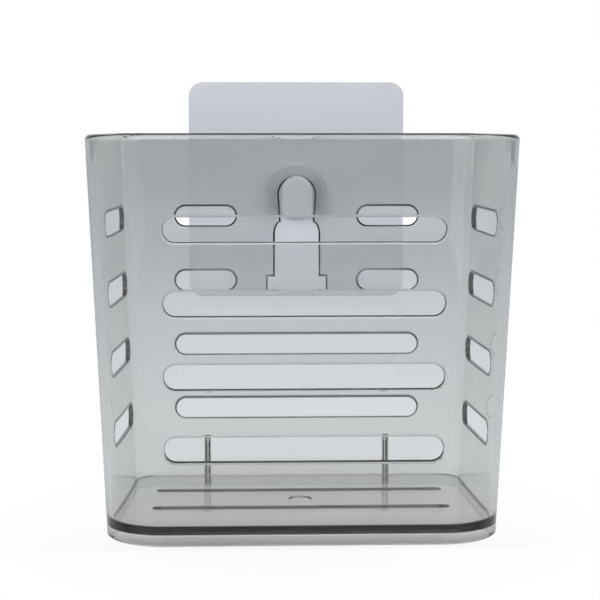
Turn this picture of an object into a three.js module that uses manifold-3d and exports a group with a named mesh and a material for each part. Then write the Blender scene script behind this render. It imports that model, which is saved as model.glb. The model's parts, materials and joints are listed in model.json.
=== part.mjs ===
// Hanging bathroom organizer: a smoke-clear moulded basket that hooks onto an adhesive wall sheet.
// Millimetres, +Z up, +Y into the wall, +X to the right of a person facing the wall.
// The origin is the centre of the wall face, the back of the adhesive.
import * as THREE from "three";
import { mergeVertices } from "three/addons/utils/BufferGeometryUtils.js";
import Module from "manifold-3d";

// Wall sheet: a thin square card with rounded corners, backed all over by adhesive.
const SHEET_SIDE = 80;
const SHEET_CORNER_RADIUS = 5.3;
const SHEET_THICKNESS = 1;
const ADHESIVE_THICKNESS = 0.5;

// Hook: a round flange bonded to the sheet, an arched stem, and a lip that rises at its tip.
const HOOK_BELOW_SHEET_CENTRE = 0.75;
const FLANGE_DIAMETER = 21;
const FLANGE_THICKNESS = 2.5;
const FLANGE_EDGE_RADIUS = 0.8;
const STEM_WIDTH = 11;
const STEM_HEIGHT = 13.5;
const STEM_CORNER_RADIUS = 1.5;
const LIP_RISE = 1.2;
const LIP_THICKNESS = 3;
const LIP_EDGE_RADIUS = 1;

// Clearances of the basket's back wall on the hook.
const FLANGE_CLEARANCE = 0.5;
const LIP_CLEARANCE = 0.5;
const SEAT_CLEARANCE = 0.3;

// Basket shell: sizes over the outside, at the rim and at the base.
const BASKET_HEIGHT = 134;
const RIM_WIDTH = 142.5;
const BASE_WIDTH = 131.4;
const RIM_DEPTH = 90;
const BASE_DEPTH = 81.5;
const SIDE_TOE_DEGREES = 3.2;
const FRONT_CORNER_RADIUS = 20.5;
const BACK_CORNER_RADIUS = 11.5;
const WALL = 2.3;
const RIM_OUTER_RADIUS = 1.7;
const RIM_INNER_RADIUS = 0.4;
const FLOOR_THICKNESS = 2.7;
const FLOOR_FILLET = 3;
const SKIRT_HEIGHT = 3.7;

// Slots: four rows, at one height on every wall. Row one is measured down from the rim.
const SLOT_ROWS = 4;
const SHORT_BACK_ROWS = 2;
const FIRST_ROW_BELOW_RIM = 30.5;
const ROW_PITCH = 23.9;
const SLOT_HEIGHT = 8.8;
const LONG_SLOT_LENGTH = 91.4;
const SHORT_SLOT_LENGTH = 23.8;
const SIDE_SLOT_LENGTH = 45;
const SIDE_SLOT_BEHIND_RIM_FRONT = 55.5;

// Keyhole in the back wall, measured down from its own top edge.
const KEYHOLE_BELOW_RIM = 16;
const NECK_WIDTH = 13.6;
const NECK_HEIGHT = 14.2;
const BODY_WIDTH = 16.6;
const SHOULDER_HEIGHT = 6.7;
const KEYHOLE_HEIGHT = 42.2;
const FOOT_WIDTH = 22;
const FOOT_HEIGHT = 5.3;

// Floor drains, the round gate mark, and the ribs that hold the basket off the wall.
const DRAIN_COUNT = 2;
const DRAIN_LENGTH = 102;
const DRAIN_WIDTH = 4;
const GATE_DIAMETER = 8.4;
const GATE_DEPTH = 0.5;
const RIB_SPACING = 66.8;
const RIB_THICKNESS = 2.2;
const RIB_HEIGHT = 21;

// Facets: enough for round corners that still read as round.
const CORNER_STEPS = 8;
const FILLET_STEPS = 3;
const CURVE_STEPS = 10;
const DISC_STEPS = 40;
const OVERCUT = 2;
const MERGE_TOLERANCE = 1e-4;

// Places that follow from the sizes. Y is negative in front of the wall.
const SHEET_BACK = -ADHESIVE_THICKNESS;
const SHEET_FRONT = SHEET_BACK - SHEET_THICKNESS;
const FLANGE_FRONT = SHEET_FRONT - FLANGE_THICKNESS;
const BACK_WALL_REAR = FLANGE_FRONT - FLANGE_CLEARANCE;
const LIP_REAR = BACK_WALL_REAR - WALL - LIP_CLEARANCE;
const LIP_FRONT = LIP_REAR - LIP_THICKNESS;
const HOOK_CENTRE = -HOOK_BELOW_SHEET_CENTRE;
const SADDLE_TOP = HOOK_CENTRE + STEM_WIDTH / 2;
const RIM_TOP = SADDLE_TOP + SEAT_CLEARANCE + KEYHOLE_BELOW_RIM;

const wasm = await Module();
wasm.setup();

// A closed geometry as a solid that can be joined and cut.
function solid(geometry) {
  const bare = geometry.index ? geometry.toNonIndexed() : geometry.clone();
  bare.deleteAttribute("normal");
  bare.deleteAttribute("uv");
  const merged = mergeVertices(bare, MERGE_TOLERANCE);
  return new wasm.Manifold(
    new wasm.Mesh({
      numProp: 3,
      vertProperties: new Float32Array(merged.attributes.position.array),
      triVerts: new Uint32Array(merged.index.array),
    }),
  );
}

// A solid back to a geometry with flat facets.
function geometryOf(made) {
  const mesh = made.getMesh();
  const indexed = new THREE.BufferGeometry();
  indexed.setAttribute("position", new THREE.BufferAttribute(new Float32Array(mesh.vertProperties), 3));
  indexed.setIndex(new THREE.BufferAttribute(new Uint32Array(mesh.triVerts), 1));
  const flat = indexed.toNonIndexed();
  flat.computeVertexNormals();
  return flat;
}

// A flat shape drawn as (x, z), thickened along Y from one plane to the next.
function plateAlongY(shape, fromY, toY, options = {}) {
  const geometry = new THREE.ExtrudeGeometry(shape, {
    depth: toY - fromY,
    bevelEnabled: false,
    curveSegments: CURVE_STEPS,
    ...options,
  });
  geometry.rotateX(Math.PI / 2);
  return geometry.translate(0, toY, 0);
}

// A flat shape drawn as (x, y), thickened upward.
function plateAlongZ(shape, fromZ, toZ) {
  const geometry = new THREE.ExtrudeGeometry(shape, {
    depth: toZ - fromZ,
    bevelEnabled: false,
    curveSegments: CURVE_STEPS,
  });
  return geometry.translate(0, 0, fromZ);
}

// A flat shape drawn as (y, z), thickened along X from one plane to the next.
function plateAlongX(shape, fromX, toX) {
  const geometry = new THREE.ExtrudeGeometry(shape, {
    depth: toX - fromX,
    bevelEnabled: false,
    curveSegments: CURVE_STEPS,
  });
  geometry.rotateX(Math.PI / 2);
  geometry.rotateZ(Math.PI / 2);
  return geometry.translate(fromX, 0, 0);
}

// A slot's outline: two half circles joined by straight edges, about a centre.
function slotShape(length, height, centreX, centreY) {
  const radius = height / 2;
  const reach = length / 2 - radius;
  const shape = new THREE.Shape();
  shape.absarc(centreX + reach, centreY, radius, -Math.PI / 2, Math.PI / 2, false);
  shape.absarc(centreX - reach, centreY, radius, Math.PI / 2, (3 * Math.PI) / 2, false);
  shape.closePath();
  return shape;
}

// A rectangle with rounded corners, about the origin.
function roundedSquare(side, radius) {
  const reach = side / 2 - radius;
  const shape = new THREE.Shape();
  shape.absarc(reach, -reach, radius, -Math.PI / 2, 0, false);
  shape.absarc(reach, reach, radius, 0, Math.PI / 2, false);
  shape.absarc(-reach, reach, radius, Math.PI / 2, Math.PI, false);
  shape.absarc(-reach, -reach, radius, Math.PI, (3 * Math.PI) / 2, false);
  shape.closePath();
  return shape;
}

// The basket's plan at a height below the rim, drawn inset from the outside by a distance.
// The sides toe in towards the back, tangent to a large front corner and a smaller back one.
function basketPlan(belowRim, inset) {
  const share = belowRim / BASKET_HEIGHT;
  const halfWidth = THREE.MathUtils.lerp(RIM_WIDTH, BASE_WIDTH, share) / 2 - inset;
  const front = -THREE.MathUtils.lerp(RIM_DEPTH, BASE_DEPTH, share) + inset;
  const frontRadius = FRONT_CORNER_RADIUS - inset;
  const backRadius = BACK_CORNER_RADIUS - inset;
  const side = THREE.MathUtils.degToRad(SIDE_TOE_DEGREES);
  const frontCentre = new THREE.Vector2(halfWidth - frontRadius, front + frontRadius);
  const backCentre = new THREE.Vector2(0, -inset - backRadius);
  const run = backCentre.y - frontCentre.y;
  const drift = frontRadius - backRadius - run * Math.sin(side);
  backCentre.x = frontCentre.x + drift / Math.cos(side);
  const points = [];
  const addArc = (sign, centre, radius, from, to) => {
    for (let i = 0; i <= CORNER_STEPS; i++) {
      const angle = THREE.MathUtils.lerp(from, to, i / CORNER_STEPS);
      const x = centre.x + radius * Math.cos(angle);
      points.push(new THREE.Vector2(sign * x, centre.y + radius * Math.sin(angle)));
    }
  };
  addArc(1, frontCentre, frontRadius, -Math.PI / 2, side);
  addArc(1, backCentre, backRadius, side, Math.PI / 2);
  addArc(-1, backCentre, backRadius, Math.PI / 2, side);
  addArc(-1, frontCentre, frontRadius, side, -Math.PI / 2);
  return points;
}

// A closed solid through the basket's plans. Each level is {belowRim, inset}, from the lowest up.
function basketLoft(levels) {
  const rings = levels.map(({ belowRim, inset }) =>
    basketPlan(belowRim, inset).map((p) => new THREE.Vector3(p.x, p.y, -belowRim)),
  );
  const count = rings[0].length;
  const last = rings.length - 1;
  const triangles = [];
  for (let level = 0; level < last; level++) {
    for (let i = 0; i < count; i++) {
      const next = (i + 1) % count;
      const [a, b] = [rings[level][i], rings[level][next]];
      const [c, d] = [rings[level + 1][next], rings[level + 1][i]];
      triangles.push(a, b, c, a, c, d);
    }
  }
  for (let i = 1; i < count - 1; i++) {
    triangles.push(rings[0][0], rings[0][i + 1], rings[0][i]);
    triangles.push(rings[last][0], rings[last][i], rings[last][i + 1]);
  }
  return new THREE.BufferGeometry().setFromPoints(triangles);
}

// A quarter round in even steps: how far along and how far in, each from 0 to 1.
function quarterRound(steps) {
  return Array.from({ length: steps + 1 }, (_, i) => {
    const angle = (i / steps) * (Math.PI / 2);
    return { along: Math.sin(angle), inward: 1 - Math.cos(angle) };
  });
}

// The basket before any slot is cut: outside, storage space and the hollow under the floor.
function basketShell() {
  const rimRound = quarterRound(FILLET_STEPS);
  const outside = [
    { belowRim: BASKET_HEIGHT, inset: 0 },
    ...rimRound.map(({ along, inward }) => ({
      belowRim: RIM_OUTER_RADIUS * (1 - along),
      inset: RIM_OUTER_RADIUS * inward,
    })),
  ];
  const floorTop = BASKET_HEIGHT - SKIRT_HEIGHT - FLOOR_THICKNESS;
  const storage = [
    ...quarterRound(FILLET_STEPS).map(({ along, inward }) => ({
      belowRim: floorTop - FLOOR_FILLET * inward,
      inset: WALL + FLOOR_FILLET * (1 - along),
    })),
    ...rimRound.map(({ along, inward }) => ({
      belowRim: RIM_INNER_RADIUS * (1 - along),
      inset: WALL - RIM_INNER_RADIUS * inward,
    })),
    { belowRim: -OVERCUT, inset: WALL - RIM_INNER_RADIUS },
  ];
  const hollow = [
    { belowRim: BASKET_HEIGHT + OVERCUT, inset: WALL },
    { belowRim: BASKET_HEIGHT - SKIRT_HEIGHT, inset: WALL },
  ];
  return solid(basketLoft(outside))
    .subtract(solid(basketLoft(storage)))
    .subtract(solid(basketLoft(hollow)));
}

// Cutters for one row of slots: a long one in front, one or a pair behind, and one for both sides.
function rowCutters(row) {
  const z = -(FIRST_ROW_BELOW_RIM + row * ROW_PITCH);
  const long = slotShape(LONG_SLOT_LENGTH, SLOT_HEIGHT, 0, z);
  const halfDepth = -RIM_DEPTH / 2;
  const cutters = [plateAlongY(long, -RIM_DEPTH - OVERCUT, halfDepth)];
  if (row < SHORT_BACK_ROWS) {
    const reach = (LONG_SLOT_LENGTH - SHORT_SLOT_LENGTH) / 2;
    for (const x of [-reach, reach]) {
      const short = slotShape(SHORT_SLOT_LENGTH, SLOT_HEIGHT, x, z);
      cutters.push(plateAlongY(short, halfDepth, OVERCUT));
    }
  } else {
    cutters.push(plateAlongY(long, halfDepth, OVERCUT));
  }
  const sideCentre = SIDE_SLOT_BEHIND_RIM_FRONT - RIM_DEPTH;
  const side = slotShape(SIDE_SLOT_LENGTH, SLOT_HEIGHT, sideCentre, z);
  const reachX = RIM_WIDTH / 2 + OVERCUT;
  cutters.push(plateAlongX(side, -reachX, reachX));
  return cutters;
}

// The keyhole: an arched neck, rounded shoulders, a wider body and a square foot.
function keyholeCutter() {
  const top = -KEYHOLE_BELOW_RIM;
  const neck = NECK_WIDTH / 2;
  const body = BODY_WIDTH / 2;
  const foot = FOOT_WIDTH / 2;
  const neckEnd = top - NECK_HEIGHT;
  const bodyTop = neckEnd - SHOULDER_HEIGHT;
  const bottom = top - KEYHOLE_HEIGHT;
  const footTop = bottom + FOOT_HEIGHT;
  const shape = new THREE.Shape();
  shape.moveTo(-foot, bottom);
  shape.lineTo(foot, bottom);
  shape.lineTo(foot, footTop);
  shape.lineTo(body, footTop);
  shape.lineTo(body, bodyTop);
  shape.quadraticCurveTo(body, neckEnd, neck, neckEnd);
  shape.lineTo(neck, top - neck);
  shape.absarc(0, top - neck, neck, 0, Math.PI, false);
  shape.lineTo(-neck, neckEnd);
  shape.quadraticCurveTo(-body, neckEnd, -body, bodyTop);
  shape.lineTo(-body, footTop);
  shape.lineTo(-foot, footTop);
  shape.closePath();
  return plateAlongY(shape, -RIM_DEPTH / 2, OVERCUT);
}

// Floor cutters: the drains at even spaces from back to front, and the gate mark in the middle.
function floorCutters() {
  const back = -WALL;
  const front = -BASE_DEPTH + WALL;
  const floorTop = SKIRT_HEIGHT + FLOOR_THICKNESS - BASKET_HEIGHT;
  const cutters = [];
  for (let i = 1; i <= DRAIN_COUNT; i++) {
    const y = THREE.MathUtils.lerp(back, front, i / (DRAIN_COUNT + 1));
    const drain = slotShape(DRAIN_LENGTH, DRAIN_WIDTH, 0, y);
    cutters.push(plateAlongZ(drain, -BASKET_HEIGHT - OVERCUT, floorTop + FLOOR_FILLET));
  }
  const mark = new THREE.Shape();
  mark.absarc(0, (back + front) / 2, GATE_DIAMETER / 2, 0, 2 * Math.PI, false);
  cutters.push(plateAlongZ(mark, floorTop - GATE_DEPTH, floorTop + OVERCUT));
  return cutters;
}

// A stand-off rib: it grows out of the back wall and reaches the wall that the sheet sticks to.
function standOffRib(x) {
  const bottom = -BASKET_HEIGHT;
  const reach = -BACK_WALL_REAR;
  const profile = new THREE.Shape();
  profile.moveTo(-WALL / 2, bottom);
  profile.lineTo(reach, bottom);
  profile.lineTo(reach, bottom + RIB_HEIGHT - reach);
  profile.absarc(0, bottom + RIB_HEIGHT - reach, reach, 0, Math.PI / 2, false);
  profile.lineTo(-WALL / 2, bottom + RIB_HEIGHT);
  profile.closePath();
  return plateAlongX(profile, x - RIB_THICKNESS / 2, x + RIB_THICKNESS / 2);
}

// The whole basket, about the middle of its back wall's rear face at rim height.
function basketGeometry() {
  let made = basketShell();
  for (const x of [-RIB_SPACING / 2, RIB_SPACING / 2]) {
    made = made.add(solid(standOffRib(x)));
  }
  const cutters = [keyholeCutter(), ...floorCutters()];
  for (let row = 0; row < SLOT_ROWS; row++) {
    cutters.push(...rowCutters(row));
  }
  for (const cutter of cutters) {
    made = made.subtract(solid(cutter));
  }
  return geometryOf(made);
}

// The stem's section: flat underneath, half round on top, raised by a given rise.
function stemShape(rise) {
  const half = STEM_WIDTH / 2;
  const radius = STEM_CORNER_RADIUS;
  const bottom = half - STEM_HEIGHT;
  const shape = new THREE.Shape();
  shape.absarc(half - radius, bottom + radius, radius, -Math.PI / 2, 0, false);
  shape.absarc(0, rise, half, 0, Math.PI, false);
  shape.absarc(radius - half, bottom + radius, radius, Math.PI, (3 * Math.PI) / 2, false);
  shape.closePath();
  return shape;
}

// The flange: a disc on the sheet with its front edge rounded.
function flangeGeometry() {
  const radius = FLANGE_DIAMETER / 2;
  const profile = [new THREE.Vector2(0, 0), new THREE.Vector2(radius, 0)];
  for (const { along, inward } of quarterRound(FILLET_STEPS)) {
    const y = FLANGE_THICKNESS - FLANGE_EDGE_RADIUS * (1 - along);
    profile.push(new THREE.Vector2(radius - FLANGE_EDGE_RADIUS * inward, y));
  }
  profile.push(new THREE.Vector2(0, FLANGE_THICKNESS));
  const geometry = new THREE.LatheGeometry(profile, DISC_STEPS);
  geometry.rotateX(Math.PI);
  return geometry.translate(0, SHEET_FRONT, 0);
}

// The hook about its flange's axis: flange, stem and lip in one moulding.
function hookGeometry() {
  const lipMiddle = LIP_REAR - LIP_THICKNESS / 2;
  const stem = plateAlongY(stemShape(0), lipMiddle, SHEET_FRONT - FLANGE_THICKNESS / 2);
  const lip = plateAlongY(stemShape(LIP_RISE), LIP_FRONT + LIP_EDGE_RADIUS, LIP_REAR - LIP_EDGE_RADIUS, {
    bevelEnabled: true,
    bevelThickness: LIP_EDGE_RADIUS,
    bevelSize: LIP_EDGE_RADIUS,
    bevelOffset: -LIP_EDGE_RADIUS,
    bevelSegments: FILLET_STEPS,
  });
  return geometryOf(solid(flangeGeometry()).add(solid(stem)).add(solid(lip)));
}

const smokeClear = new THREE.MeshStandardMaterial({
  color: 0x9ea3a6,
  roughness: 0.08,
  metalness: 0,
  transparent: true,
  opacity: 0.45,
});
const whiteHook = new THREE.MeshStandardMaterial({ color: 0xe9ebec, roughness: 0.35, metalness: 0 });
const whiteSheet = new THREE.MeshStandardMaterial({ color: 0xd9dce1, roughness: 0.45, metalness: 0 });
const clearAdhesive = new THREE.MeshStandardMaterial({ color: 0xe4e6e2, roughness: 0.6, metalness: 0 });

function namedMesh(name, geometry, material) {
  const mesh = new THREE.Mesh(geometry, material);
  mesh.name = name;
  return mesh;
}

const organizer = new THREE.Group();
const outline = roundedSquare(SHEET_SIDE, SHEET_CORNER_RADIUS);
organizer.add(namedMesh("adhesive_layer", plateAlongY(outline, SHEET_BACK, 0), clearAdhesive));
organizer.add(namedMesh("mounting_sheet", plateAlongY(outline, SHEET_FRONT, SHEET_BACK), whiteSheet));

const hook = namedMesh("hook", hookGeometry(), whiteHook);
hook.position.z = HOOK_CENTRE;
organizer.add(hook);

const basket = namedMesh("basket", basketGeometry(), smokeClear);
basket.position.set(0, BACK_WALL_REAR, RIM_TOP);
organizer.add(basket);

export default organizer;
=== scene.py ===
# %% [markdown]
# # A hanging bathroom organizer in smoke-clear plastic
#
# The real object is one clear moulded basket that hangs on a white hook. The hook stands on a thin
# white sheet that sticks to the bathroom wall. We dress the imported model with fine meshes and
# materials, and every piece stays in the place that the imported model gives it.

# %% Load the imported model
import json
import math

import bmesh
import bpy
from mathutils import Matrix, Vector

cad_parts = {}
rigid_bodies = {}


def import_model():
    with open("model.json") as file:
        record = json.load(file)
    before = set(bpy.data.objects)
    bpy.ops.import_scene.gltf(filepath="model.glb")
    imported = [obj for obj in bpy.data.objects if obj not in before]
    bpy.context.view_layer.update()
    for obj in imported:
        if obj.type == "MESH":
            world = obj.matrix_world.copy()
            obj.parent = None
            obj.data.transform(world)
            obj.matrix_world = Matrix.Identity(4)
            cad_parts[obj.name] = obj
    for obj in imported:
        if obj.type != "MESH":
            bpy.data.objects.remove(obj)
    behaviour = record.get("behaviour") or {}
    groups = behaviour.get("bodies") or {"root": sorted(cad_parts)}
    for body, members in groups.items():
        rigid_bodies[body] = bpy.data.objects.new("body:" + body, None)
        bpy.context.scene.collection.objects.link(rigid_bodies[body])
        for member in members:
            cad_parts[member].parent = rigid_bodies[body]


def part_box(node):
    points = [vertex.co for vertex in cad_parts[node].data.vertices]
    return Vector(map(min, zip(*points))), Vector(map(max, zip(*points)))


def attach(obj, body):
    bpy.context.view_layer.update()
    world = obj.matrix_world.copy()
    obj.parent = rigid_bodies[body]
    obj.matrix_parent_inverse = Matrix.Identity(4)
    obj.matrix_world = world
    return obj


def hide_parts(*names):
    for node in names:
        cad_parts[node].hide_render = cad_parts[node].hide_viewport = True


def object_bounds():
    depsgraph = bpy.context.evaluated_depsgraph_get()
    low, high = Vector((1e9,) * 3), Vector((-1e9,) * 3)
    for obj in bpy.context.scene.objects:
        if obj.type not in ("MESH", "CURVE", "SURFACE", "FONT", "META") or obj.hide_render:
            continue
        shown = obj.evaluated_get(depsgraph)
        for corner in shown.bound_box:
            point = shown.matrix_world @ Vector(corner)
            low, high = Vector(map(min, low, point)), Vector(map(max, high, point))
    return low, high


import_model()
cad_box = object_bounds()

# %% [markdown]
# ## The camera
#
# The photograph was taken with a long lens from just above the rim, a touch left of the middle and
# looking slightly down. From there the rounded back of the rim shows as one dark line, so a few
# millimetres of height matter. A camera could be aimed at a point, but a place and two angles can
# be matched to the photograph one at a time. The small shift puts the object at its place in the
# frame.

# %% Place the camera
CAMERA_PLACE = (-0.018, -0.5926, 0.0241)
CAMERA_DOWN_DEGREES = 4.165
CAMERA_RIGHT_DEGREES = 1.88
LENS_MM = 94.8
SHIFT_DOWN = 0.1

lens = bpy.data.cameras.new("camera")
lens.lens = LENS_MM
lens.shift_y = -SHIFT_DOWN
camera = bpy.data.objects.new("camera", lens)
camera.location = CAMERA_PLACE
camera_tilt = math.radians(90 - CAMERA_DOWN_DEGREES)
camera.rotation_euler = (camera_tilt, 0, math.radians(-CAMERA_RIGHT_DEGREES))
bpy.context.scene.collection.objects.link(camera)
bpy.context.scene.camera = camera
bpy.context.scene.view_settings.view_transform = "Standard"
print("camera at", CAMERA_PLACE, "with a lens of", LENS_MM, "mm")

# %% [markdown]
# ## Small tools for colours and nodes
#
# We write colours as sRGB hex values, as a paint chart does, and Blender's shaders want linear
# light, so one function converts them. A second function adds one shader node, sets its own
# properties, and fills or links its sockets. Nodes could be added by hand line by line, but then
# the links would hide the materials.


# %% Colour and node tools
def linear(hex_colour):
    """An sRGB hex colour such as "#C8D0D4" as linear red, green, blue and alpha."""
    channels = [int(hex_colour[i : i + 2], 16) / 255 for i in (1, 3, 5)]
    return (*[c / 12.92 if c <= 0.04045 else ((c + 0.055) / 1.055) ** 2.4 for c in channels], 1.0)


def add_node(tree, kind, sockets=None, **settings):
    """One node: settings are its own properties, sockets hold values or outputs to link."""
    node = tree.nodes.new(kind)
    for name, value in settings.items():
        setattr(node, name, value)
    for name, value in (sockets or {}).items():
        if isinstance(value, bpy.types.NodeSocket):
            tree.links.new(value, node.inputs[name])
        else:
            node.inputs[name].default_value = value
    return node


def empty_tree(owner):
    """The node tree of a material or world, with every node taken out."""
    owner.use_nodes = True
    owner.node_tree.nodes.clear()
    return owner.node_tree


def colour_stops(ramp, stops):
    """Give a colour ramp its stops, from a table of positions and hex colours."""
    for count, (position, colour) in enumerate(stops.items()):
        stop = ramp.elements[count] if count < 2 else ramp.elements.new(position)
        stop.position = position
        stop.color = linear(colour)


WHITE = linear("#FFFFFF")
print("mid grey in linear light:", round(linear("#808080")[0], 3))

# %% [markdown]
# ## The studio
#
# The camera sees clean white paper all round. Clear plastic has almost no colour of its own, so
# what its walls and its gloss show is the room: pale at the far end, dark between there and the
# sides, and mid grey behind the camera. A panorama could give that, but a few tones along one
# direction are easier to match. So the world and the floor each hold three shaders, mixed by who
# looks: one that lights the object, one that the plastic sees, and one for the camera.

# %% The room
ROOM_LEVEL = 0.06
# The room's tones, from behind the camera at 0 to the far end of the studio at 1.
ROOM_COLOURS = {
    0.0: "#9CA0A5",
    0.35: "#8A8E93",
    0.6: "#6D7177",
    0.9: "#B8BCC1",
    0.96: "#E4E9EF",
    0.995: "#C8CDD3",
}
# A look to the side counts as this much of a look to the far end.
SIDE_SHARE = 0.35


def by_sight(tree, lit, in_plastic, to_camera):
    """Three shaders mixed by who looks: plain surfaces, clear or glossy ones, or the camera."""
    rays = add_node(tree, "ShaderNodeLightPath")
    looks = {0: rays.outputs["Is Glossy Ray"], 1: rays.outputs["Is Transmission Ray"]}
    plastic = add_node(tree, "ShaderNodeMath", looks, operation="MAXIMUM")
    choice = {0: plastic.outputs[0], 1: lit.outputs[0], 2: in_plastic.outputs[0]}
    indoors = add_node(tree, "ShaderNodeMixShader", choice)
    choice = {0: rays.outputs["Is Camera Ray"], 1: indoors.outputs[0], 2: to_camera.outputs[0]}
    return add_node(tree, "ShaderNodeMixShader", choice).outputs[0]


room = bpy.data.worlds.new("studio")
bpy.context.scene.world = room
tree = empty_tree(room)
sight = add_node(tree, "ShaderNodeTexCoord")
slope = add_node(tree, "ShaderNodeSeparateXYZ", {"Vector": sight.outputs["Generated"]})
aside = add_node(tree, "ShaderNodeMath", {0: slope.outputs["X"], 1: 2.0}, operation="POWER")
ahead = {0: aside.outputs[0], 1: SIDE_SHARE, 2: slope.outputs["Y"]}
depth = add_node(tree, "ShaderNodeMath", ahead, operation="MULTIPLY_ADD")
tone = add_node(tree, "ShaderNodeValToRGB", {"Fac": depth.outputs[0]})
colour_stops(tone.color_ramp, ROOM_COLOURS)
lit = add_node(tree, "ShaderNodeBackground", {"Color": WHITE, "Strength": ROOM_LEVEL})
tones = add_node(tree, "ShaderNodeBackground", {"Color": tone.outputs["Color"], "Strength": 1})
paper = add_node(tree, "ShaderNodeBackground", {"Color": WHITE, "Strength": 1})
add_node(tree, "ShaderNodeOutputWorld", {"Surface": by_sight(tree, lit, tones, paper)})
print("room tones at", list(ROOM_COLOURS))

# %% [markdown]
# Four softboxes give nearly all the light: two in front, one a little stronger than the other, one
# above and one behind. They are wide, so shadows stay soft. Photographers also stand white cards
# beside clear plastic, because they give it broad pale highlights. Lit cards would brighten the
# white sheet too, so three more lamps play the cards. Once the basket is there, those are set to
# show in gloss alone.

# %% Lamps
LAMPS = {
    "softbox_left": {"place": (-1.2, -1.5, 0.4), "side": 1.3, "watts": 19.9},
    "softbox_right": {"place": (1.2, -1.4, 0.35), "side": 1.3, "watts": 17.7},
    "softbox_top": {"place": (0.1, 0.0, 1.5), "side": 0.9, "watts": 8.0},
    "softbox_back": {"place": (0.5, 1.6, 0.9), "side": 1.3, "watts": 16.0},
    "gloss_card_front": {"place": (0.0, -0.85, 1.1), "side": 1.2, "watts": 12.0},
    "gloss_card_left": {"place": (-1.2, -0.9, 0.2), "side": 2.6, "watts": 28.0},
    "gloss_card_right": {"place": (1.2, -0.9, 0.2), "side": 2.6, "watts": 8.0},
}
LAMP_AIM = Vector((0, -0.04, -0.04))

lamps = []
for name, setting in LAMPS.items():
    light = bpy.data.lights.new(name, "AREA")
    light.size = setting["side"]
    light.energy = setting["watts"]
    lamp = bpy.data.objects.new(name, light)
    lamp.location = setting["place"]
    lamp.rotation_euler = (LAMP_AIM - lamp.location).to_track_quat("-Z", "Y").to_euler()
    bpy.context.scene.collection.objects.link(lamp)
    lamps.append(lamp)
print("lamps:", [lamp.name for lamp in lamps])

# %% [markdown]
# The floor is one wide sheet of pale paper just under the base, as the photograph's table was. The
# camera sees it white, with a trace of the basket's shadow. The plastic sees its tones: plain lit
# paper under the basket, a painted shadow just behind the skirt, and round the basket a painted glow
# that falls off towards the horizon and goes into painted shade in the foreground. A plain lit plane
# would be simpler, but the walls would lose the photograph's change from light below to dark near the
# rim.

# %% Paper for the floor
FLOOR_BACK = 3.0
# Lit paper up to the first of these distances from the basket's middle, glow from the second.
UNDER_BASKET = 0.05
CLEAR_OF_BASKET = 0.13
# The camera sees this share of the true shade under the basket.
SHADOW_SHOWN = 0.15
# The painted glow that stands for lit paper, by distance from the basket, as a share of the floor's
# reach to the back.
GLOW_COLOURS = {0.03: "#ECF1F6", 0.15: "#DFE4EA", 0.4: "#CFD4DA", 1.0: "#C8CDD3"}
# A painted shade darkens the foreground between these two distances, down to this share of the glow.
DARK_FROM = 0.45
DARK_TO = 0.8
DARK_SHARE = 0.2
# A painted shadow in the paper's colour over the last stretch in front of the basket's middle, under
# the skirt.
SKIRT_SHADOW_STRETCH = 0.06
SKIRT_SHADOW_COLOURS = {0.28: "#F4F5F6", 0.34: "#929393", 0.93: "#F4F5F6"}

# To the eye: clean white with a breath of shadow, and in the plastic a matte grey sweep.
floor_paper = bpy.data.materials.new("pale_paper_floor")
tree = empty_tree(floor_paper)
spot = add_node(tree, "ShaderNodeTexCoord").outputs["Object"]
along = add_node(tree, "ShaderNodeSeparateXYZ", {"Vector": spot}).outputs["Y"]
far = add_node(tree, "ShaderNodeVectorMath", {0: spot}, operation="LENGTH").outputs["Value"]

# The skirt's painted shadow: a dark strip in the colour of the lit paper.
stretch = {"Value": along, "From Min": -SKIRT_SHADOW_STRETCH, "From Max": 0.0}
under = add_node(tree, "ShaderNodeMapRange", stretch)
shaded = add_node(tree, "ShaderNodeValToRGB", {"Fac": under.outputs["Result"]})
colour_stops(shaded.color_ramp, SKIRT_SHADOW_COLOURS)
matte = add_node(tree, "ShaderNodeBsdfDiffuse", {"Color": shaded.outputs["Color"]})

# Painted light: the paper glows less with distance, and a painted shade darkens the foreground.
reach = add_node(tree, "ShaderNodeMath", {0: far, 1: FLOOR_BACK}, operation="DIVIDE")
tone = add_node(tree, "ShaderNodeValToRGB", {"Fac": reach.outputs[0]})
colour_stops(tone.color_ramp, GLOW_COLOURS)
front = {"Value": along, "From Min": -DARK_TO, "From Max": -DARK_FROM, "To Min": DARK_SHARE}
level = add_node(tree, "ShaderNodeMapRange", front)
glow = {"Color": tone.outputs["Color"], "Strength": level.outputs["Result"]}
glow = add_node(tree, "ShaderNodeEmission", glow)
clear = {"Value": far, "From Min": UNDER_BASKET, "From Max": CLEAR_OF_BASKET}
clear = add_node(tree, "ShaderNodeMapRange", clear, interpolation_type="SMOOTHSTEP")
to_plastic = {0: clear.outputs[0], 1: matte.outputs[0], 2: glow.outputs[0]}
to_plastic = add_node(tree, "ShaderNodeMixShader", to_plastic)

white = add_node(tree, "ShaderNodeEmission", {"Color": WHITE, "Strength": 1})
bright = {"Value": far, "From Max": CLEAR_OF_BASKET, "To Min": 1 - SHADOW_SHOWN}
bright = add_node(tree, "ShaderNodeMapRange", bright, interpolation_type="SMOOTHSTEP")
to_camera = {0: bright.outputs[0], 1: matte.outputs[0], 2: white.outputs[0]}
to_camera = add_node(tree, "ShaderNodeMixShader", to_camera)
seen = by_sight(tree, matte, to_plastic, to_camera)
add_node(tree, "ShaderNodeOutputMaterial", {"Surface": seen})
print("made", floor_paper.name)

# %% Floor
FLOOR_GAP = 0.0005
FLOOR_SIDE = 1.4
FLOOR_FRONT = 1.4

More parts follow.
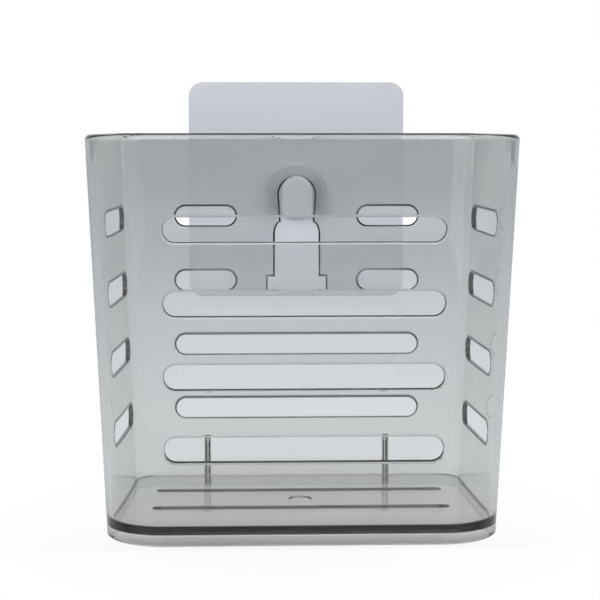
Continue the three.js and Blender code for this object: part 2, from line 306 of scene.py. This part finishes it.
floor_corners = [
    (-FLOOR_SIDE, -FLOOR_FRONT, 0),
    (FLOOR_SIDE, -FLOOR_FRONT, 0),
    (FLOOR_SIDE, FLOOR_BACK, 0),
    (-FLOOR_SIDE, FLOOR_BACK, 0),
]
floor_mesh = bpy.data.meshes.new("floor")
floor_mesh.from_pydata(floor_corners, [], [(0, 1, 2, 3)])
floor_mesh.materials.append(floor_paper)
floor = bpy.data.objects.new("floor", floor_mesh)
floor.location = (0, (cad_box[0][1] + cad_box[1][1]) / 2, cad_box[0][2] - FLOOR_GAP)
bpy.context.scene.collection.objects.link(floor)
print("floor at height", round(floor.location.z, 4), "m")

# %% [markdown]
# ## Shapes from rings
#
# Every piece here is a moulding or a cut sheet, and each can be drawn as a stack of closed outlines
# that is skinned from one to the next. Lofted curves could do it too, but plain rings put every
# point where we want it. So one function skins rings, and small ones draw the outlines beside the
# pieces that need them. We work in millimetres, as a mould maker does, and scale to metres at the
# end.

# %% Skins
MM = 0.001


def skin(rings):
    """A closed shape through rings of points that all have the same count."""
    shape = bmesh.new()
    made = [[shape.verts.new(point) for point in ring] for ring in rings]
    for low, high in zip(made, made[1:]):
        for i in range(len(low)):
            shape.faces.new((low[i - 1], low[i], high[i], high[i - 1]))
    shape.faces.new(list(reversed(made[0])))
    shape.faces.new(made[-1])
    bmesh.ops.recalc_face_normals(shape, faces=shape.faces)
    return shape


def blank(name, rings, collection):
    """An object in millimetres, skinned through rings, in a collection."""
    shape = skin(rings)
    mesh = bpy.data.meshes.new(name)
    shape.to_mesh(mesh)
    shape.free()
    thing = bpy.data.objects.new(name, mesh)
    collection.objects.link(thing)
    return thing


print("blanks are made in units of", MM, "m")

# %% [markdown]
# ## The basket's shell
#
# The basket is one injection moulding. Its plan has large corners in front and smaller ones behind,
# the sides toe in a little towards the wall, and everything narrows towards the base so that it
# leaves the mould. A box with thickness and bevels could come close, but not with these corners. So
# one skin runs from the hollow under the floor, round the skirt's edge, up the outside, over the rim
# and down the inside to the floor. Beside each rounded edge lies one more ring, which keeps the
# shading of the tall walls straight.

# %% Basket sizes
basket_low, basket_high = (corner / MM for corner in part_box("basket"))
BACK_GAP = 4.5
RIM_TOP = basket_high.z
BASKET_HEIGHT = basket_high.z - basket_low.z
RIM_WIDTH = 142.5
BASE_WIDTH = 131.4
RIM_DEPTH = 90
BASE_DEPTH = 81.5
SIDE_TOE_DEGREES = 3.2
FRONT_CORNER_RADIUS = 20.5
BACK_CORNER_RADIUS = 11.5
WALL = 2.3
RIM_OUTER_RADIUS = 1.9
RIM_INNER_RADIUS = 0.3
SKIRT_HEIGHT = 3.7
SKIRT_EDGE_RADIUS = 0.4
FLOOR_THICKNESS = 2.7
FLOOR_FILLET = 0.45
FLOOR_TOP = BASKET_HEIGHT - SKIRT_HEIGHT - FLOOR_THICKNESS
print("basket", RIM_WIDTH, "x", RIM_DEPTH, "x", round(BASKET_HEIGHT, 1), "mm")

# %% Basket plan
CORNER_STEPS = 28

toe = math.radians(SIDE_TOE_DEGREES)


def arc(centre, radius, start, end, steps, eased=False):
    """Points along an arc in a plane, with the angles in degrees. Eased, they crowd at its ends."""
    shares = [i / steps for i in range(steps + 1)]
    if eased:
        shares = [s * s * (3 - 2 * s) for s in shares]
    turns = [math.radians(start + (end - start) * s) for s in shares]
    return [(centre[0] + radius * math.cos(t), centre[1] + radius * math.sin(t)) for t in turns]


def corner_centres(below_rim):
    """Centres of the right front and right back corners of the plan at a height below the rim."""
    share = below_rim / BASKET_HEIGHT
    front_x = (RIM_WIDTH + (BASE_WIDTH - RIM_WIDTH) * share) / 2 - FRONT_CORNER_RADIUS
    front_y = FRONT_CORNER_RADIUS - (RIM_DEPTH + (BASE_DEPTH - RIM_DEPTH) * share)
    back_y = -BACK_CORNER_RADIUS
    drift = FRONT_CORNER_RADIUS - BACK_CORNER_RADIUS - (back_y - front_y) * math.sin(toe)
    return (front_x, front_y), (front_x + drift / math.cos(toe), back_y)


def basket_plan(below_rim, inset):
    """The basket's outline at a height below the rim, drawn in from the outside by an inset."""
    front, back = corner_centres(below_rim)
    right = arc(front, FRONT_CORNER_RADIUS - inset, -90, SIDE_TOE_DEGREES, CORNER_STEPS, eased=True)
    right += arc(back, BACK_CORNER_RADIUS - inset, SIDE_TOE_DEGREES, 90, CORNER_STEPS, eased=True)
    left = [(-x, y) for x, y in reversed(right)]
    return [(x, y, -below_rim) for x, y in right + left]


print("plan has", len(basket_plan(0, 0)), "points")

# %% Basket shell
BESIDE_EDGE = 0.3
EDGE_STEPS = 4
RIM_STEPS = 12


def quarter_round(steps):
    """How far along and how far in a quarter round is at each step, from 0 to 1."""
    turns = [math.radians(90 * i / steps) for i in range(steps + 1)]
    return [(math.sin(t), 1 - math.cos(t)) for t in turns]


def shell_levels():
    """Heights below the rim and insets, from the hollow under the floor round to the floor's top."""
    edge = quarter_round(EDGE_STEPS)
    rim = quarter_round(RIM_STEPS)
    low = BASKET_HEIGHT - SKIRT_EDGE_RADIUS
    ceiling = BASKET_HEIGHT - SKIRT_HEIGHT
    fillet = FLOOR_FILLET
    levels = [(ceiling + fillet * b, WALL + fillet * (1 - a)) for a, b in edge]
    levels += [(low - BESIDE_EDGE, WALL)]
    levels += [(low + SKIRT_EDGE_RADIUS * a, WALL - SKIRT_EDGE_RADIUS * b) for a, b in edge]
    levels += [(low + SKIRT_EDGE_RADIUS * a, SKIRT_EDGE_RADIUS * b) for a, b in reversed(edge)]
    levels += [(low - BESIDE_EDGE, 0), (RIM_OUTER_RADIUS + BESIDE_EDGE, 0)]
    levels += [(RIM_OUTER_RADIUS * (1 - a), RIM_OUTER_RADIUS * b) for a, b in rim]
    levels += [(RIM_INNER_RADIUS * (1 - a), WALL - RIM_INNER_RADIUS * b) for a, b in reversed(edge)]
    levels += [(RIM_INNER_RADIUS + BESIDE_EDGE, WALL), (FLOOR_TOP - fillet - BESIDE_EDGE, WALL)]
    levels += [(FLOOR_TOP - fillet * b, WALL + fillet * (1 - a)) for a, b in reversed(edge)]
    return levels


shell_rings = [basket_plan(*level) for level in shell_levels()]
basket = blank("basket_moulding", shell_rings, bpy.context.scene.collection)
print("shell skinned through", len(shell_rings), "rings")

# %% [markdown]
# ## Slots, keyhole, drains and ribs
#
# Four rows of slots with round ends run round the walls. The edge of a moulded slot is well rounded
# outside, slopes inwards by the draft that frees the mould's core, and has a small break inside.
# Light that meets that slope is turned back inside the plastic, and this draws each slot's dark
# outline. A bevel after the cut could round the edges, but bevels are fragile on cut meshes and
# give no slope. So each cutter is skinned along the edge's profile and leaves it behind.

# %% Edges of holes
EDGE_ROUND = 0.75
EDGE_BREAK = 0.25
# Each rounding starts this share of its radius outside the face, so no sliver is left there.
EDGE_LIFT = 0.013
# Unless a hole says otherwise, this share of its edge's width lies outside its nominal outline.
EDGE_OUTSIDE = 0.5
FRONT_DRAFT = 10
BACK_DRAFT = 17
BEYOND = 0.5


def edge_profile(thickness, draft, outside, scale):
    """Depths and openings along a moulded hole's edge, from a wall's outer face to its inner one.

    The share outside of the edge's width lies beyond the hole's nominal outline.
    """
    rounding, broken = EDGE_ROUND * scale, EDGE_BREAK * scale
    outer = arc((rounding * (1 - EDGE_LIFT), 0), rounding, 180, 270 - draft, steps=6)
    inner = arc((thickness - broken * (1 - EDGE_LIFT), 0), broken, -90 - draft, 0, steps=5)
    run = inner[0][0] - outer[-1][0]
    drop = outer[-1][1] - run * math.tan(math.radians(draft)) - inner[0][1]
    inner = [(depth, opening + drop) for depth, opening in inner]
    ends = [(-BEYOND, outer[0][1]), (thickness + BEYOND, inner[-1][1])]
    shift = outside * min(opening for _, opening in inner)
    return [(depth, opening - shift) for depth, opening in ends[:1] + outer + inner + ends[1:]]


def flared(outline, face, thickness, draft=FRONT_DRAFT, outside=EDGE_OUTSIDE, scale=1):
    """Rings of a cutter that leaves a moulded hole's edge behind.

    outline(grow) is the hole's outline, grown by a distance. face(u, v, depth) is a point of it at
    a depth under the wall's outer face.
    """
    profile = edge_profile(thickness, draft, outside, scale)
    return [[face(u, v, depth) for u, v in outline(grow)] for depth, grow in profile]


slot_edge = edge_profile(WALL, FRONT_DRAFT, EDGE_OUTSIDE, scale=1)
print("a slot's edge is drawn in", len(slot_edge), "steps")


# %% Faces of the walls
def front_face(x, z, depth):
    """A point under the front wall's outer face."""
    return (x, corner_centres(-z)[0][1] - FRONT_CORNER_RADIUS + depth, z)


def back_face(x, z, depth):
    """A point under the back wall's rear face."""
    return (x, -depth, z)


def right_face(y, z, depth):
    """A point under the right wall's outer face."""
    (x, front_y), _ = corner_centres(-z)
    return (x + (FRONT_CORNER_RADIUS - depth - (y - front_y) * math.sin(toe)) / math.cos(toe), y, z)


def left_face(y, z, depth):
    """A point under the left wall's outer face."""
    x, y, z = right_face(y, z, depth)
    return (-x, y, z)


front_lean = front_face(0, -BASKET_HEIGHT, 0)[1] - front_face(0, 0, 0)[1]
print("front wall leans by", round(front_lean, 1), "mm")

# %% [markdown]
# The front and the sides have one slot in each row. The back wall keeps its middle whole beside the
# keyhole, so its two upper rows are pairs of short slots. An array could repeat one slot down each
# wall, but the front leans and the sides toe in, so each slot is set out on its own wall's face. The
# back slots slope more than the others, because the photograph shows them with heavier outlines.

# %% Slot outlines
SLOT_HEIGHT = 8.8
LONG_SLOT = 91.4
SHORT_SLOT = 23.8
SIDE_SLOT = 45


def pill(length, height, centre_u, centre_v, steps=24):
    """A slot's outline: two half circles joined by straight edges."""
    radius = height / 2
    reach = length / 2 - radius
    right = arc((centre_u + reach, centre_v), radius, -90, 90, steps)
    return right + arc((centre_u - reach, centre_v), radius, 90, 270, steps)


print("a slot's outline has", len(pill(LONG_SLOT, SLOT_HEIGHT, 0, 0)), "points")

# %% Slot cutters
SLOT_ROWS = 4
SHORT_BACK_ROWS = 2
FIRST_FRONT_ROW = 30.15
FIRST_ROW_BELOW_RIM = 30.5
ROW_PITCH = 23.9
SIDE_SLOT_CENTRE = 55.5 - RIM_DEPTH
BACK_EDGE = {"draft": BACK_DRAFT, "outside": 0.25}


def bench(name):
    """A collection for blanks that are joined or cut away and then thrown out."""
    collection = bpy.data.collections.new(name)
    bpy.context.scene.collection.children.link(collection)
    return collection


def cut_slot(name, length, centre_u, centre_v, face, **edge):
    """Put a slot's cutter on the bench."""
    def outline(grow):
        return pill(length + 2 * grow, SLOT_HEIGHT + 2 * grow, centre_u, centre_v)

    blank(name, flared(outline, face, WALL, **edge), cutters)


cutters = bench("cutters")
short_reach = (LONG_SLOT - SHORT_SLOT) / 2
for row in range(SLOT_ROWS):
    z = -(FIRST_ROW_BELOW_RIM + row * ROW_PITCH)
    cut_slot("front_slot", LONG_SLOT, 0, z + FIRST_ROW_BELOW_RIM - FIRST_FRONT_ROW, front_face)
    if row < SHORT_BACK_ROWS:
        cut_slot("back_slot", SHORT_SLOT, -short_reach, z, back_face, **BACK_EDGE)
        cut_slot("back_slot", SHORT_SLOT, short_reach, z, back_face, **BACK_EDGE)
    else:
        cut_slot("back_slot", LONG_SLOT, 0, z, back_face, **BACK_EDGE)
    cut_slot("side_slot", SIDE_SLOT, SIDE_SLOT_CENTRE, z, left_face)
    cut_slot("side_slot", SIDE_SLOT, SIDE_SLOT_CENTRE, z, right_face)

# %% [markdown]
# The keyhole's arched neck hangs on the hook. Below the arch the neck narrows a little, so the stem
# has less play there. Then it widens over soft shoulders to a body and a square foot that let the
# hook's lip pass. It could be several cutters that overlap, but one outline leaves no seams.

# %% Keyhole cutter
KEYHOLE_BELOW_RIM = 16
NECK_HALF = 6.8
NECK_HEIGHT = 16.8
PINCH_HALF = 6.1
BODY_HALF = 8.3
SHOULDER_HEIGHT = 5
# The shoulders' bend turns this far below the neck.
SHOULDER_TURN = 1
KEYHOLE_HEIGHT = 42.2
FOOT_HALF = 11
FOOT_HEIGHT = 5.3
# This share of the edge's slope lies outside the outline, so that the hook keeps its room.
ROOM_FOR_HOOK = 0.8


def bend(start, corner, end, steps):
    """Points along a soft bend that leaves start towards corner and arrives at end."""
    shares = [i / steps for i in range(steps + 1)]
    ways = [((1 - s) ** 2, 2 * s * (1 - s), s**2) for s in shares]
    return [tuple(a * p + b * q + c * r for p, q, r in zip(start, corner, end)) for a, b, c in ways]


def keyhole_outline(grow):
    """The keyhole's outline: square foot, body, soft shoulders, and an arched neck pinched below."""
    top = -KEYHOLE_BELOW_RIM
    halves = (NECK_HALF, PINCH_HALF, BODY_HALF, FOOT_HALF)
    neck, pinch, body, foot = (half + grow for half in halves)
    neck_end = top - NECK_HEIGHT
    body_top = neck_end - SHOULDER_HEIGHT
    foot_bottom = top - KEYHOLE_HEIGHT - grow
    foot_top = top - KEYHOLE_HEIGHT + FOOT_HEIGHT + grow
    right = [(foot, foot_bottom), (foot, foot_top), (body, foot_top)]
    right += bend((body, body_top), (body, neck_end - SHOULDER_TURN), (pinch, neck_end), steps=10)
    # The arch stops one step short of its crown, which both halves share.
    right += arc((0, top - NECK_HALF), neck, 0, 84, steps=14)
    return right + [(0, top + grow)] + [(-x, z) for x, z in reversed(right)]


keyhole = flared(keyhole_outline, back_face, WALL, draft=BACK_DRAFT, outside=ROOM_FOR_HOOK)
blank("keyhole", keyhole, cutters)
print("keyhole outline has", len(keyhole_outline(0)), "points")

# %% [markdown]
# The floor has two long drains, and between them the round mark where the plastic was fed into the
# mould. The mark could be a bump in the material, but a shallow dish with a sloping edge also shows
# in the mesh.

# %% Floor cutters
DRAIN_COUNT = 2
DRAIN_LENGTH = 102
DRAIN_WIDTH = 4
DRAIN_EDGE_SCALE = 0.6
GATE_RADIUS = 4.2
GATE_DEPTH = 0.6
GATE_SLOPE = 0.5


def circle(centre, radius, points):
    """Points round a whole circle."""
    return arc(centre, radius, 0, 360 - 360 / points, points - 1)


def floor_face(x, y, depth):
    """A point under the floor's top face."""
    return (x, y, -FLOOR_TOP - depth)


floor_back = -WALL
floor_front = WALL - BASE_DEPTH
for number in range(1, DRAIN_COUNT + 1):
    y = floor_back + (floor_front - floor_back) * number / (DRAIN_COUNT + 1)
    rings = flared(
        lambda grow: pill(DRAIN_LENGTH + 2 * grow, DRAIN_WIDTH + 2 * grow, 0, y, steps=12),
        floor_face,
        FLOOR_THICKNESS,
        scale=DRAIN_EDGE_SCALE,
    )
    blank("drain", rings, cutters)

gate_centre = (0, (floor_back + floor_front) / 2)
gate_levels = [(-BEYOND, 0), (0, 0), (GATE_DEPTH, -GATE_SLOPE)]
gate = [(depth, circle(gate_centre, GATE_RADIUS + grow, points=48)) for depth, grow in gate_levels]
blank("gate_mark", [[floor_face(x, y, depth) for x, y in ring] for depth, ring in gate], cutters)

# %% [markdown]
# Two ribs behind hold the basket upright off the tile. Each grows out of the back wall with a small
# fillet, ends in a chamfered tip and is rounded on top. A box with bevels would need three kinds of
# them, so each rib is skinned instead, through sections from inside the wall out to the tip.

# %% Ribs behind
RIB_SPACING = 66.8
RIB_THICKNESS = 1.9
RIB_FILLET = 0.5
RIB_CHAMFER = 0.78
RIB_HEIGHT = 21
RIB_LIFT = 0.6
RIB_CURVE = 4


def rib_section(middle, behind):
    """A rib's section at a distance behind the back wall: wide at its root, chamfered at its tip."""
    root = max(0, RIB_FILLET - max(behind, RIB_FILLET * EDGE_LIFT))
    half = RIB_THICKNESS / 2
    half += RIB_FILLET - math.sqrt(RIB_FILLET**2 - root**2)
    half -= max(0, behind - BACK_GAP + RIB_CHAMFER)
    on_curve = max(0, behind - BACK_GAP + RIB_CURVE)
    top = RIB_HEIGHT - BASKET_HEIGHT - RIB_CURVE + math.sqrt(RIB_CURVE**2 - on_curve**2)
    low = RIB_LIFT - BASKET_HEIGHT
    left, right = middle - half, middle + half
    return [(left, behind, low), (right, behind, low), (right, behind, top), (left, behind, top)]


ribs = bench("ribs")
rib_root = [-WALL / 2, RIB_FILLET * EDGE_LIFT]
rib_root += [RIB_FILLET * b for _, b in quarter_round(steps=6)[2:]]
rib_tip = [BACK_GAP - RIB_CHAMFER]
rib_tip += [BACK_GAP - RIB_CURVE * (1 - a) for a, _ in quarter_round(steps=12)[1:]]
rib_places = sorted(rib_root + rib_tip)
for middle in (-RIB_SPACING / 2, RIB_SPACING / 2):
    blank("rib", [rib_section(middle, behind) for behind in rib_places], ribs)

# %% [markdown]
# The real basket comes out of its mould in one piece, ribs and holes included, so the blank is
# joined with its ribs and cut by its cutters. Then every face is shaded smooth, but the normals are
# parted where a plane wall meets anything else. That matters in clear plastic: a bent normal on a
# flat wall would show as a wavy view through it. Faces shaded flat would give the same normals, but
# a ray that enters the plastic by a smooth face and leaves by a flat one loses track of being
# inside, and the smoke tint would then run on through the air.

# %% Plane walls and soft edges
# A face with more than this share of the whole area lies in a plane wall.
WALL_SHARE = 0.015
FLAT_DEGREES = 0.1
SHARP_DEGREES = 40


def keep_walls_flat(mesh):
    """Shade a mesh smooth, with the normals parted at sharp edges and round its plane walls."""
    shape = bmesh.new()
    shape.from_mesh(mesh)
    whole = sum(face.calc_area() for face in shape.faces)
    planes = [face.normal.copy() for face in shape.faces if face.calc_area() > WALL_SHARE * whole]
    for face in shape.faces:
        face.smooth = True
        nearest = min((face.normal.angle(plane, math.pi) for plane in planes), default=math.pi)
        face.tag = nearest < math.radians(FLAT_DEGREES)
    for edge in shape.edges:
        sides = {face.tag for face in edge.link_faces}
        edge.smooth = len(sides) == 1 and edge.calc_face_angle(0) < math.radians(SHARP_DEGREES)
    shape.to_mesh(mesh)
    shape.free()


print("edges over", SHARP_DEGREES, "degrees stay sharp")


# %% Join and cut the basket
def finish_moulding(thing, place, join=None, cut=None):
    """Join and cut a blank, put it in its place in metres, shade it and clear the benches."""
    for collection, operation in ((join, "UNION"), (cut, "DIFFERENCE")):
        if collection:
            change = thing.modifiers.new(operation.lower(), "BOOLEAN")
            change.operation = operation
            change.operand_type = "COLLECTION"
            change.collection = collection
            change.solver = "EXACT"
    graph = bpy.context.evaluated_depsgraph_get()
    mesh = bpy.data.meshes.new_from_object(thing.evaluated_get(graph))
    mesh.transform(Matrix.Translation(Vector(place) * MM) @ Matrix.Scale(MM, 4))
    mesh.name = thing.name
    keep_walls_flat(mesh)
    thing.modifiers.clear()
    thing.data = mesh
    for collection in filter(None, (join, cut)):
        for spent in list(collection.objects):
            bpy.data.meshes.remove(spent.data)
        bpy.data.collections.remove(collection)
    print(thing.name, "has", len(mesh.vertices), "vertices and", len(mesh.polygons), "faces")


finish_moulding(basket, (0, -BACK_GAP, RIM_TOP), join=ribs, cut=cutters)
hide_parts("basket")
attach(basket, "basket")

# %% [markdown]
# Clear plastic lets lamp light through, but a path tracer's shadow rays stop at it, and the sheet
# behind would go dark. Caustics could carry that light, but they are slow and noisy. So the lamps
# leave the basket out when they cast shadows, and only the room's own light leaves its soft shadow
# on the paper. A lamp that is also seen through the plastic would count twice, so none is. The cards
# show in gloss alone, and the softboxes light everything but don't show.

# %% Let the lamps shine through
clear_pieces = bpy.data.collections.new("clear_pieces")
clear_pieces.objects.link(basket)
clear_pieces.collection_objects[0].light_linking.link_state = "EXCLUDE"
for lamp in lamps:
    lamp.light_linking.blocker_collection = clear_pieces
    lamp.visible_camera = False
    lamp.visible_transmission = False
    lamp.visible_glossy = lamp.name.startswith("gloss")
    lamp.visible_diffuse = not lamp.visible_glossy

# %% [markdown]
# ## The hook
#
# The hook is one small white moulding: a round flange bonded to the sheet, an arched stem that the
# keyhole's neck rests on, and a lip in front that keeps the basket from sliding off. It could be
# three pieces pushed together, but the real one has no seams, so the stem and the lip are joined to
# the flange. The stem widens softly where it grows out of the flange, and the lip stands a little
# proud of it.

# %% Hook sizes
hook_low, hook_high = (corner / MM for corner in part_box("hook"))
HOOK_CENTRE = (hook_low.z + hook_high.z) / 2
FLANGE_RADIUS = (hook_high.x - hook_low.x) / 2
FLANGE_THICKNESS = 2.5
FLANGE_EDGE = 0.8
SADDLE = 5.5
STEM_HALF = 5.6
STEM_HEIGHT = 13.6
STEM_CORNER = 1.5
STEM_FILLET = 0.4
LIP_RISE = 0.4
LIP_PROUD = 0.3
LIP_THICKNESS = 3
LIP_FRONT_EDGE = 1.2
LIP_REAR_EDGE = 0.25


def stem_outline(rise, proud, inset):
    """A section flat below and half round above, raised, proud of the stem, or drawn in."""
    low = SADDLE - STEM_HEIGHT + STEM_CORNER - proud
    middle = SADDLE - STEM_HALF + rise
    half = STEM_HALF + proud - inset
    reach = half - STEM_CORNER
    right = arc((reach, low), STEM_CORNER, -90, 0, steps=8)
    arch = arc((0, middle), half, 0, 180, steps=36)
    left = arc((-reach, low), STEM_CORNER, 180, 270, steps=8)
    return right + arch + left


def standing(levels, outline):
    """Rings of an outline that stand one behind the other, from pairs of place and inset."""
    return [[(x, y, z) for x, z in outline(inset)] for y, inset in levels]


def edge_levels(face, inwards, radius, steps):
    """Places and insets along a rounded edge, from the full outline to a face."""
    return [(face + inwards * radius * (1 - a), radius * b) for a, b in quarter_round(steps)]


print("stem is", 2 * STEM_HALF, "mm wide")

# %% Hook
lip_front = hook_low.y
lip_rear = lip_front + LIP_THICKNESS
flange_front = hook_high.y - FLANGE_THICKNESS

lip_levels = list(reversed(edge_levels(lip_rear, -1, LIP_REAR_EDGE, steps=3)))
lip_levels += edge_levels(lip_front, 1, LIP_FRONT_EDGE, steps=8)
stem_levels = [(flange_front + FLANGE_THICKNESS / 2, -STEM_FILLET)]
for a, b in quarter_round(steps=5):
    stem_levels.append((flange_front + STEM_FILLET * (EDGE_LIFT - b), STEM_FILLET * (a - 1)))
stem_levels.append((lip_rear - LIP_THICKNESS / 2, 0))
flange_levels = [(hook_high.y, 0)] + edge_levels(flange_front, 1, FLANGE_EDGE, steps=6)

hook_parts = bench("hook_parts")
blank("lip", standing(lip_levels, lambda inset: stem_outline(LIP_RISE, LIP_PROUD, inset)), hook_parts)
blank("stem", standing(stem_levels, lambda inset: stem_outline(0, 0, inset)), hook_parts)
flange_rings = standing(flange_levels, lambda inset: circle((0, 0), FLANGE_RADIUS - inset, points=96))
hook = blank("hook_moulding", flange_rings, bpy.context.scene.collection)
finish_moulding(hook, (0, 0, HOOK_CENTRE), join=hook_parts)
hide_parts("hook")
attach(hook, "wall_hanger")

# %% [markdown]
# ## The sheet and its adhesive
#
# The sheet is a die-cut square of white plastic, one millimetre thick, with rounded corners. A film
# of adhesive covers its whole back. A cube with bevels could do for both, but rings of rounded
# squares, drawn in at each face, give the softened cut edge with the same tools as the rest.

# %% Sheet and adhesive
SHEET_CORNER = 5.3
CUT_EDGE = 0.15


def rounded_square(reach, radius):
    """A square's outline with round corners, whose centres lie at a reach from the middle."""
    outline = []
    for u, v, turn in ((1, -1, -90), (1, 1, 0), (-1, 1, 90), (-1, -1, 180)):
        outline += arc((u * reach, v * reach), radius, turn, turn + 90, steps=16)
    return outline


def die_cut(name, node):
    """A rounded square in the space of its node, with softened edges."""
    low, high = (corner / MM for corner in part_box(node))
    reach = (high.x - low.x) / 2 - SHEET_CORNER
    levels = list(reversed(edge_levels(high.y, -1, CUT_EDGE, steps=3)))
    levels += edge_levels(low.y, 1, CUT_EDGE, steps=3)
    rings = standing(levels, lambda inset: rounded_square(reach, SHEET_CORNER - inset))
    made = blank(name, rings, bpy.context.scene.collection)
    finish_moulding(made, (0, 0, 0))
    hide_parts(node)
    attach(made, "wall_hanger")
    return made


sheet = die_cut("mounting_card", "mounting_sheet")
adhesive = die_cut("adhesive_film", "adhesive_layer")

# %% [markdown]
# ## Smoke-clear plastic
#
# Baskets of this kind are moulded from SAN or polystyrene in a polished mould, tinted with a trace
# of grey. The tint could be a colour on the surface, but then thick and thin places would look the
# same. So it is a volume: one wall takes about a sixth of the light, and long paths in the floor's
# edge and the skirt take nearly all of it. The polish is never perfect, so a faint broad flow
# pattern varies the roughness, and a ripple of a few thousandths of a millimetre bends the gloss.

# %% Smoke-clear SAN from a polished mould
# To the eye: glass-like gloss, a clear view straight through, and edges that go dark.
SAN_IOR = 1.57
# The tint, and how strongly it takes light over each metre of plastic.
SMOKE_TINT = "#BBBCB4"
SMOKE_PER_METRE = 157.0
FLOW_WIDTH = 24 * MM
HAZE_WIDTH = 3 * MM
RIPPLE_DEPTH = 0.004 * MM


def dress(piece, material):
    """Give a piece one material."""
    piece.data.materials.clear()
    piece.data.materials.append(material)
    print(piece.name, "is", material.name)


san = bpy.data.materials.new("smoke_clear_SAN_polished_mould")
tree = empty_tree(san)
place = add_node(tree, "ShaderNodeTexCoord").outputs["Object"]
flow = {"Vector": place, "Scale": 1 / FLOW_WIDTH, "Detail": 2.0}
flow = add_node(tree, "ShaderNodeTexNoise", flow)
polish = {"Value": flow.outputs["Fac"], "To Min": 0.015, "To Max": 0.045}
polish = add_node(tree, "ShaderNodeMapRange", polish)
haze = {"Vector": place, "Scale": 1 / HAZE_WIDTH, "Detail": 1.0}
haze = add_node(tree, "ShaderNodeTexNoise", haze)
ripple = {"Height": haze.outputs["Fac"], "Strength": 0.2, "Distance": RIPPLE_DEPTH}
ripple = add_node(tree, "ShaderNodeBump", ripple)
clear = add_node(
    tree,
    "ShaderNodeBsdfPrincipled",
    {
        "Base Color": WHITE,
        "Roughness": polish.outputs["Result"],
        "IOR": SAN_IOR,
        "Transmission Weight": 1.0,
        "Normal": ripple.outputs["Normal"],
    },
)
smoke = {"Color": linear(SMOKE_TINT), "Density": SMOKE_PER_METRE}
smoke = add_node(tree, "ShaderNodeVolumeAbsorption", smoke)
add_node(tree, "ShaderNodeOutputMaterial", {"Surface": clear.outputs[0], "Volume": smoke.outputs[0]})
dress(basket, san)

# %% [markdown]
# ## White mouldings and film
#
# The hook is moulded ABS with a satin face, from a mould that was eroded to a fine grain. The sheet
# is calendered PVC, a little blue, with a soft sheen. The adhesive is a pale acrylic film with the
# tiny dimples that let air out as it is pressed on. Plain colours with one roughness would look like
# paint, so each gets its grain. The real grain is too fine to show at this size, so it is drawn a
# few times coarser.

# %% Satin white ABS
# To the eye: a soft, broad highlight and shades that run evenly round the arch.
# Drawn coarser than the mould's real grain, which is too fine to show.
ABS_GRAIN = 0.5 * MM
ABS_PITS = 0.02 * MM

abs_white = bpy.data.materials.new("satin_white_ABS_eroded_mould")
tree = empty_tree(abs_white)
place = add_node(tree, "ShaderNodeTexCoord").outputs["Object"]
grain = {"Vector": place, "Scale": 1 / ABS_GRAIN, "Detail": 2.0}
grain = add_node(tree, "ShaderNodeTexNoise", grain)
pits = {"Height": grain.outputs["Fac"], "Strength": 0.25, "Distance": ABS_PITS}
pits = add_node(tree, "ShaderNodeBump", pits)
satin = {"Value": grain.outputs["Fac"], "To Min": 0.3, "To Max": 0.42}
satin = add_node(tree, "ShaderNodeMapRange", satin)
moulded = add_node(
    tree,
    "ShaderNodeBsdfPrincipled",
    {
        "Base Color": linear("#C4C8CF"),
        "Roughness": satin.outputs["Result"],
        "IOR": 1.54,
        "Normal": pits.outputs["Normal"],
    },
)
add_node(tree, "ShaderNodeOutputMaterial", {"Surface": moulded.outputs[0]})
dress(hook, abs_white)

# %% Calendered white PVC
# To the eye: an even cool white with hardly any shine.
# Drawn coarser than the grain that the rollers leave, which is too fine to show.
PVC_GRAIN = 0.7 * MM
PVC_PRESS = 0.02 * MM

pvc = bpy.data.materials.new("calendered_white_PVC_sheet")
tree = empty_tree(pvc)
place = add_node(tree, "ShaderNodeTexCoord").outputs["Object"]
grain = {"Vector": place, "Scale": 1 / PVC_GRAIN, "Detail": 3.0}
grain = add_node(tree, "ShaderNodeTexNoise", grain)
press = {"Height": grain.outputs["Fac"], "Strength": 0.2, "Distance": PVC_PRESS}
press = add_node(tree, "ShaderNodeBump", press)
sheen = {"Value": grain.outputs["Fac"], "To Min": 0.42, "To Max": 0.55}
sheen = add_node(tree, "ShaderNodeMapRange", sheen)
pressed = add_node(
    tree,
    "ShaderNodeBsdfPrincipled",
    {
        "Base Color": linear("#D3D6DE"),
        "Roughness": sheen.outputs["Result"],
        "IOR": 1.53,
        "Normal": press.outputs["Normal"],
    },
)
add_node(tree, "ShaderNodeOutputMaterial", {"Surface": pressed.outputs[0]})
dress(sheet, pvc)

# %% Acrylic adhesive film
# To the eye: a pale, slightly wet shine, broken by the dimples.
# Drawn coarser than the real dimples, which are too fine to show.
DIMPLE_PITCH = 1.6 * MM
DIMPLE_DEPTH = 0.1 * MM

acrylic = bpy.data.materials.new("acrylic_adhesive_cast_film")
tree = empty_tree(acrylic)
place = add_node(tree, "ShaderNodeTexCoord").outputs["Object"]
cells = {"Vector": place, "Scale": 1 / DIMPLE_PITCH, "Randomness": 0.35}
cells = add_node(tree, "ShaderNodeTexVoronoi", cells)
dimple = {"Height": cells.outputs["Distance"], "Strength": 0.35, "Distance": DIMPLE_DEPTH}
dimple = add_node(tree, "ShaderNodeBump", dimple)
film = add_node(
    tree,
    "ShaderNodeBsdfPrincipled",
    {
        "Base Color": linear("#DEE0DC"),
        "Roughness": 0.28,
        "IOR": 1.47,
        "Normal": dimple.outputs["Normal"],
    },
)
add_node(tree, "ShaderNodeOutputMaterial", {"Surface": film.outputs[0]})
dress(adhesive, acrylic)
